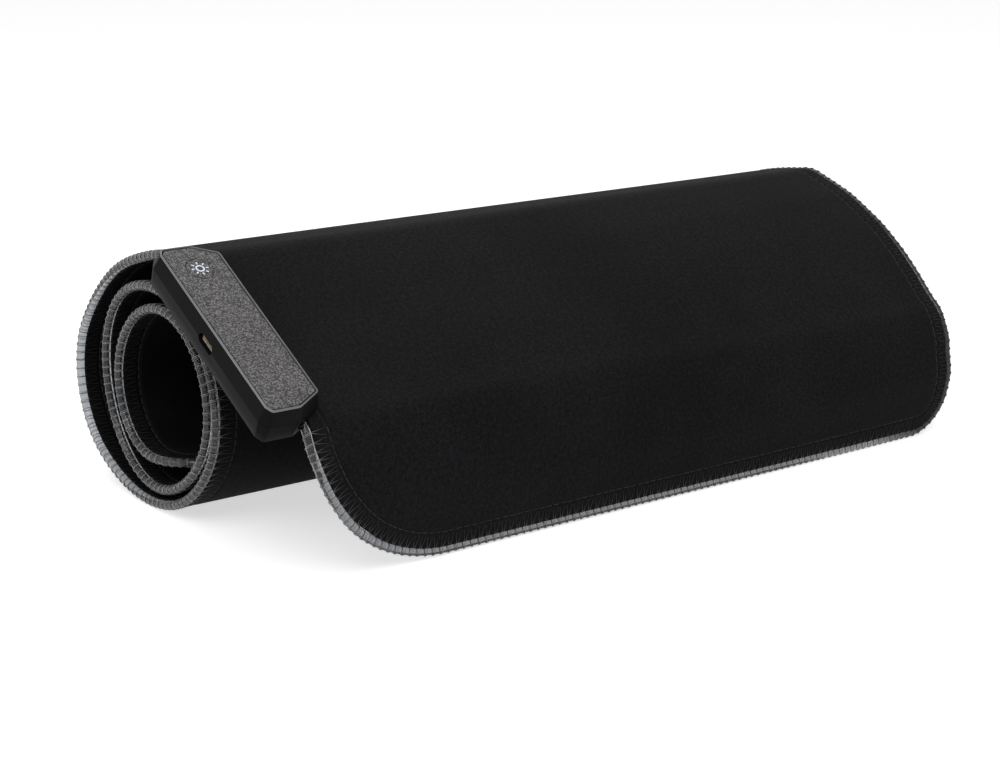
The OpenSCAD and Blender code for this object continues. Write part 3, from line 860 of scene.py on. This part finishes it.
MATS = {
    "cloth": cloth_mat(), "rubber": rubber_mat(), "guide": guide_mat(),
    "loop": thread_mat("overlock_nylon", (0.17, 0.36), (0.018, 0.05), (1.0, 0.98, 0.96)),
    "needle": thread_mat("needle_thread", (0.01, 0.03), (0.012, 0.045), (1.0, 0.95, 0.9), 0.6),
    "upper": grained("black_abs", (0.0042, 0.0042, 0.0048), 0.42, 2600, 0.00005, Specular_IOR_Level=0.05),
    "lower": grained("dark_abs", (0.0045, 0.0045, 0.0052), 0.46, 2600, 0.00005, Specular_IOR_Level=0.03),
    "rim": grained("polished_bevel", (0.16, 0.16, 0.175), 0.22, 2000, 0.00002, 0.15),
    "plate": plate_mat("grained_plate"), "cap": plate_mat("grained_button"),
    "print": grained("white_print", (0.74, 0.80, 0.92), 0.35, 2400, 0.00002, 0.06),
    "nickel": grained("nickel_plate", (0.92, 0.82, 0.68), 0.28, 3000, 0.00001, 0.06, Metallic=0.6),
    "gold": grained("gold_flash", (0.95, 0.80, 0.56), 0.3, 3000, 0.00001, 0.05, Metallic=0.3),
    "steel": grained("zinc_steel", (0.5, 0.5, 0.52), 0.32, 3000, 0.00002, 0.12, Metallic=1.0),
    "black_part": grained("black_moulding", (0.02, 0.02, 0.02), 0.5, 2600, 0.00005),
    "tan_part": grained("tan_moulding", (0.5, 0.44, 0.34), 0.5, 2600, 0.00005, 0.1),
    "board": grained("green_solder_mask", (0.02, 0.13, 0.06), 0.35, 2200, 0.00003),
    "holder": grained("white_moulding", (0.7, 0.7, 0.68), 0.45, 2600, 0.00004, 0.06),
    "lamp": grained("lamp_resin", (0.85, 0.85, 0.78), 0.2, 2600, 0.00002, 0.05),
    "pad": grained("pad_rubber", (0.008, 0.008, 0.008), 0.8, 2200, 0.0001, Specular_IOR_Level=0.1),
}


def paint(o, key):
    o.data.materials.clear()
    o.data.materials.append(MATS[key])


for o, key in ((cloth, "cloth"), (rubber, "rubber"), (guide, "guide"), (overlock, "loop"), (needle, "needle"),
               (upper, "upper"), (lower, "lower"), (rim, "rim"), (plate, "plate"), (cap, "cap")):
    paint(o, key)
CAD_LOOK = {
    "button_symbol": "print", "usb_shell": "nickel", "usb_tongue": "black_part", "usb_contacts": "gold",
    "tact_switch": "black_part", "switch_plunger": "tan_part", "circuit_board": "board",
    "controller_chip": "black_part", "passives": "tan_part", "led_rear": "lamp", "led_front": "lamp",
    "led_board_rear": "board", "led_board_front": "board", "ferrule_rear": "holder", "ferrule_front": "holder",
    "clamp_strip": "pad", "base_pad": "pad", "screw_1": "steel", "screw_2": "steel", "screw_3": "steel",
    "screw_4": "steel",
}
for name, key in CAD_LOOK.items():
    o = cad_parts[name]
    for s in o.material_slots:
        s.material = MATS[key]

# ---------------------------------------------------------------- what rides on what
for o, body, nodes, slot in (
        (cloth, "mat", ["cloth_top"], "woven_cloth"), (rubber, "mat", ["rubber_base"], "rubber"),
        (guide, "mat", ["light_guide"], "clear_silicone"),
        (overlock, "mat", ["edge_stitching", "flap_stitching"], "thread"),
        (needle, "mat", ["needle_seam"], "thread"),
        (upper, "mat", ["upper_housing"], "black_abs"), (lower, "mat", ["lower_housing"], "dark_abs"),
        (rim, "mat", ["bezel"], "bright_trim"), (plate, "mat", ["top_plate"], "textured_plate"),
        (cap, "button", ["mode_button"], "textured_plate")):
    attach(o, body)
    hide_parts(*nodes)

# ---------------------------------------------------------------- floor, light and camera
me = bpy.data.meshes.new("floor")
me.from_pydata([(-6, -6, 0), (6, -6, 0), (6, 8, 0), (-6, 8, 0)], [], [(0, 1, 2, 3)])
floor = bpy.data.objects.new("floor", me)
bpy.context.scene.collection.objects.link(floor)
floor.location.z = CAD_BOX[0].z - 0.0001


def seen_directly(nt):
    lp = nt.nodes.new("ShaderNodeLightPath")
    a = math_node(nt, "MAXIMUM", lp.outputs["Is Camera Ray"], lp.outputs["Is Glossy Ray"])
    return math_node(nt, "MAXIMUM", a, lp.outputs["Is Transmission Ray"])


FLOOR_GLOW = 0.62       # lifts the floor's own grey to white where it is seen directly
WORLD_LIGHT = 0.42      # the world as a light; where it is seen directly its strength is 1

fm = bpy.data.materials.new("pale_floor")
fm.use_nodes = True
nt = fm.node_tree
nt.nodes.clear()
out = nt.nodes.new("ShaderNodeOutputMaterial")
dif = node(nt, "ShaderNodeBsdfDiffuse", Color=(0.8, 0.8, 0.8, 1))
em = node(nt, "ShaderNodeEmission", Color=(1, 1, 1, 1), Strength=FLOOR_GLOW)
add = nt.nodes.new("ShaderNodeAddShader")
mix = nt.nodes.new("ShaderNodeMixShader")
nt.links.new(dif.outputs[0], add.inputs[0])
nt.links.new(em.outputs[0], add.inputs[1])
nt.links.new(seen_directly(nt), mix.inputs[0])
nt.links.new(dif.outputs[0], mix.inputs[1])
nt.links.new(add.outputs[0], mix.inputs[2])
nt.links.new(mix.outputs[0], out.inputs[0])
me.materials.append(fm)

world = bpy.data.worlds.new("studio")
bpy.context.scene.world = world
world.use_nodes = True
nt = world.node_tree
nt.nodes.clear()
out = nt.nodes.new("ShaderNodeOutputWorld")
plain = node(nt, "ShaderNodeBackground", Color=(1, 1, 1, 1), Strength=WORLD_LIGHT)
white = node(nt, "ShaderNodeBackground", Color=(1, 1, 1, 1), Strength=1.0)
mix = nt.nodes.new("ShaderNodeMixShader")
nt.links.new(seen_directly(nt), mix.inputs[0])
nt.links.new(plain.outputs[0], mix.inputs[1])
nt.links.new(white.outputs[0], mix.inputs[2])
nt.links.new(mix.outputs[0], out.inputs[0])


def area(name, loc, target, size, power):
    l = bpy.data.lights.new(name, "AREA")
    l.shape, l.size, l.energy = "SQUARE", size, power
    o = bpy.data.objects.new(name, l)
    bpy.context.scene.collection.objects.link(o)
    o.location = loc
    o.rotation_euler = (Vector(target) - Vector(loc)).to_track_quat("-Z", "Y").to_euler()
    return o


area("key", (-0.55, -0.75, 1.15), (0, 0, 0.05), 0.9, 8.0)
area("side", (-1.1, 0.1, 0.5), (-0.1, 0, 0.05), 0.6, 2.0)
area("top", (0.25, 0.35, 1.3), (0, 0, 0.05), 0.9, 3.0)

cam_data = bpy.data.cameras.new("camera")
cam_data.lens, cam_data.sensor_width = 72.0, 36.0
cam_data.clip_start, cam_data.clip_end = 0.05, 30
cam = bpy.data.objects.new("camera", cam_data)
bpy.context.scene.collection.objects.link(cam)
CAM_AT = (-319.92, -617.58, 228.83)    # mm, before SHIFT
CAM_DOWN, CAM_YAW = 14.92, 37.65
cam.location = tuple((a + b) * MM for a, b in zip(SHIFT, CAM_AT))
cam.rotation_euler = (math.radians(90 - CAM_DOWN), 0, math.radians(-CAM_YAW))
bpy.context.scene.camera = cam
bpy.context.scene.view_settings.view_transform = "Standard"
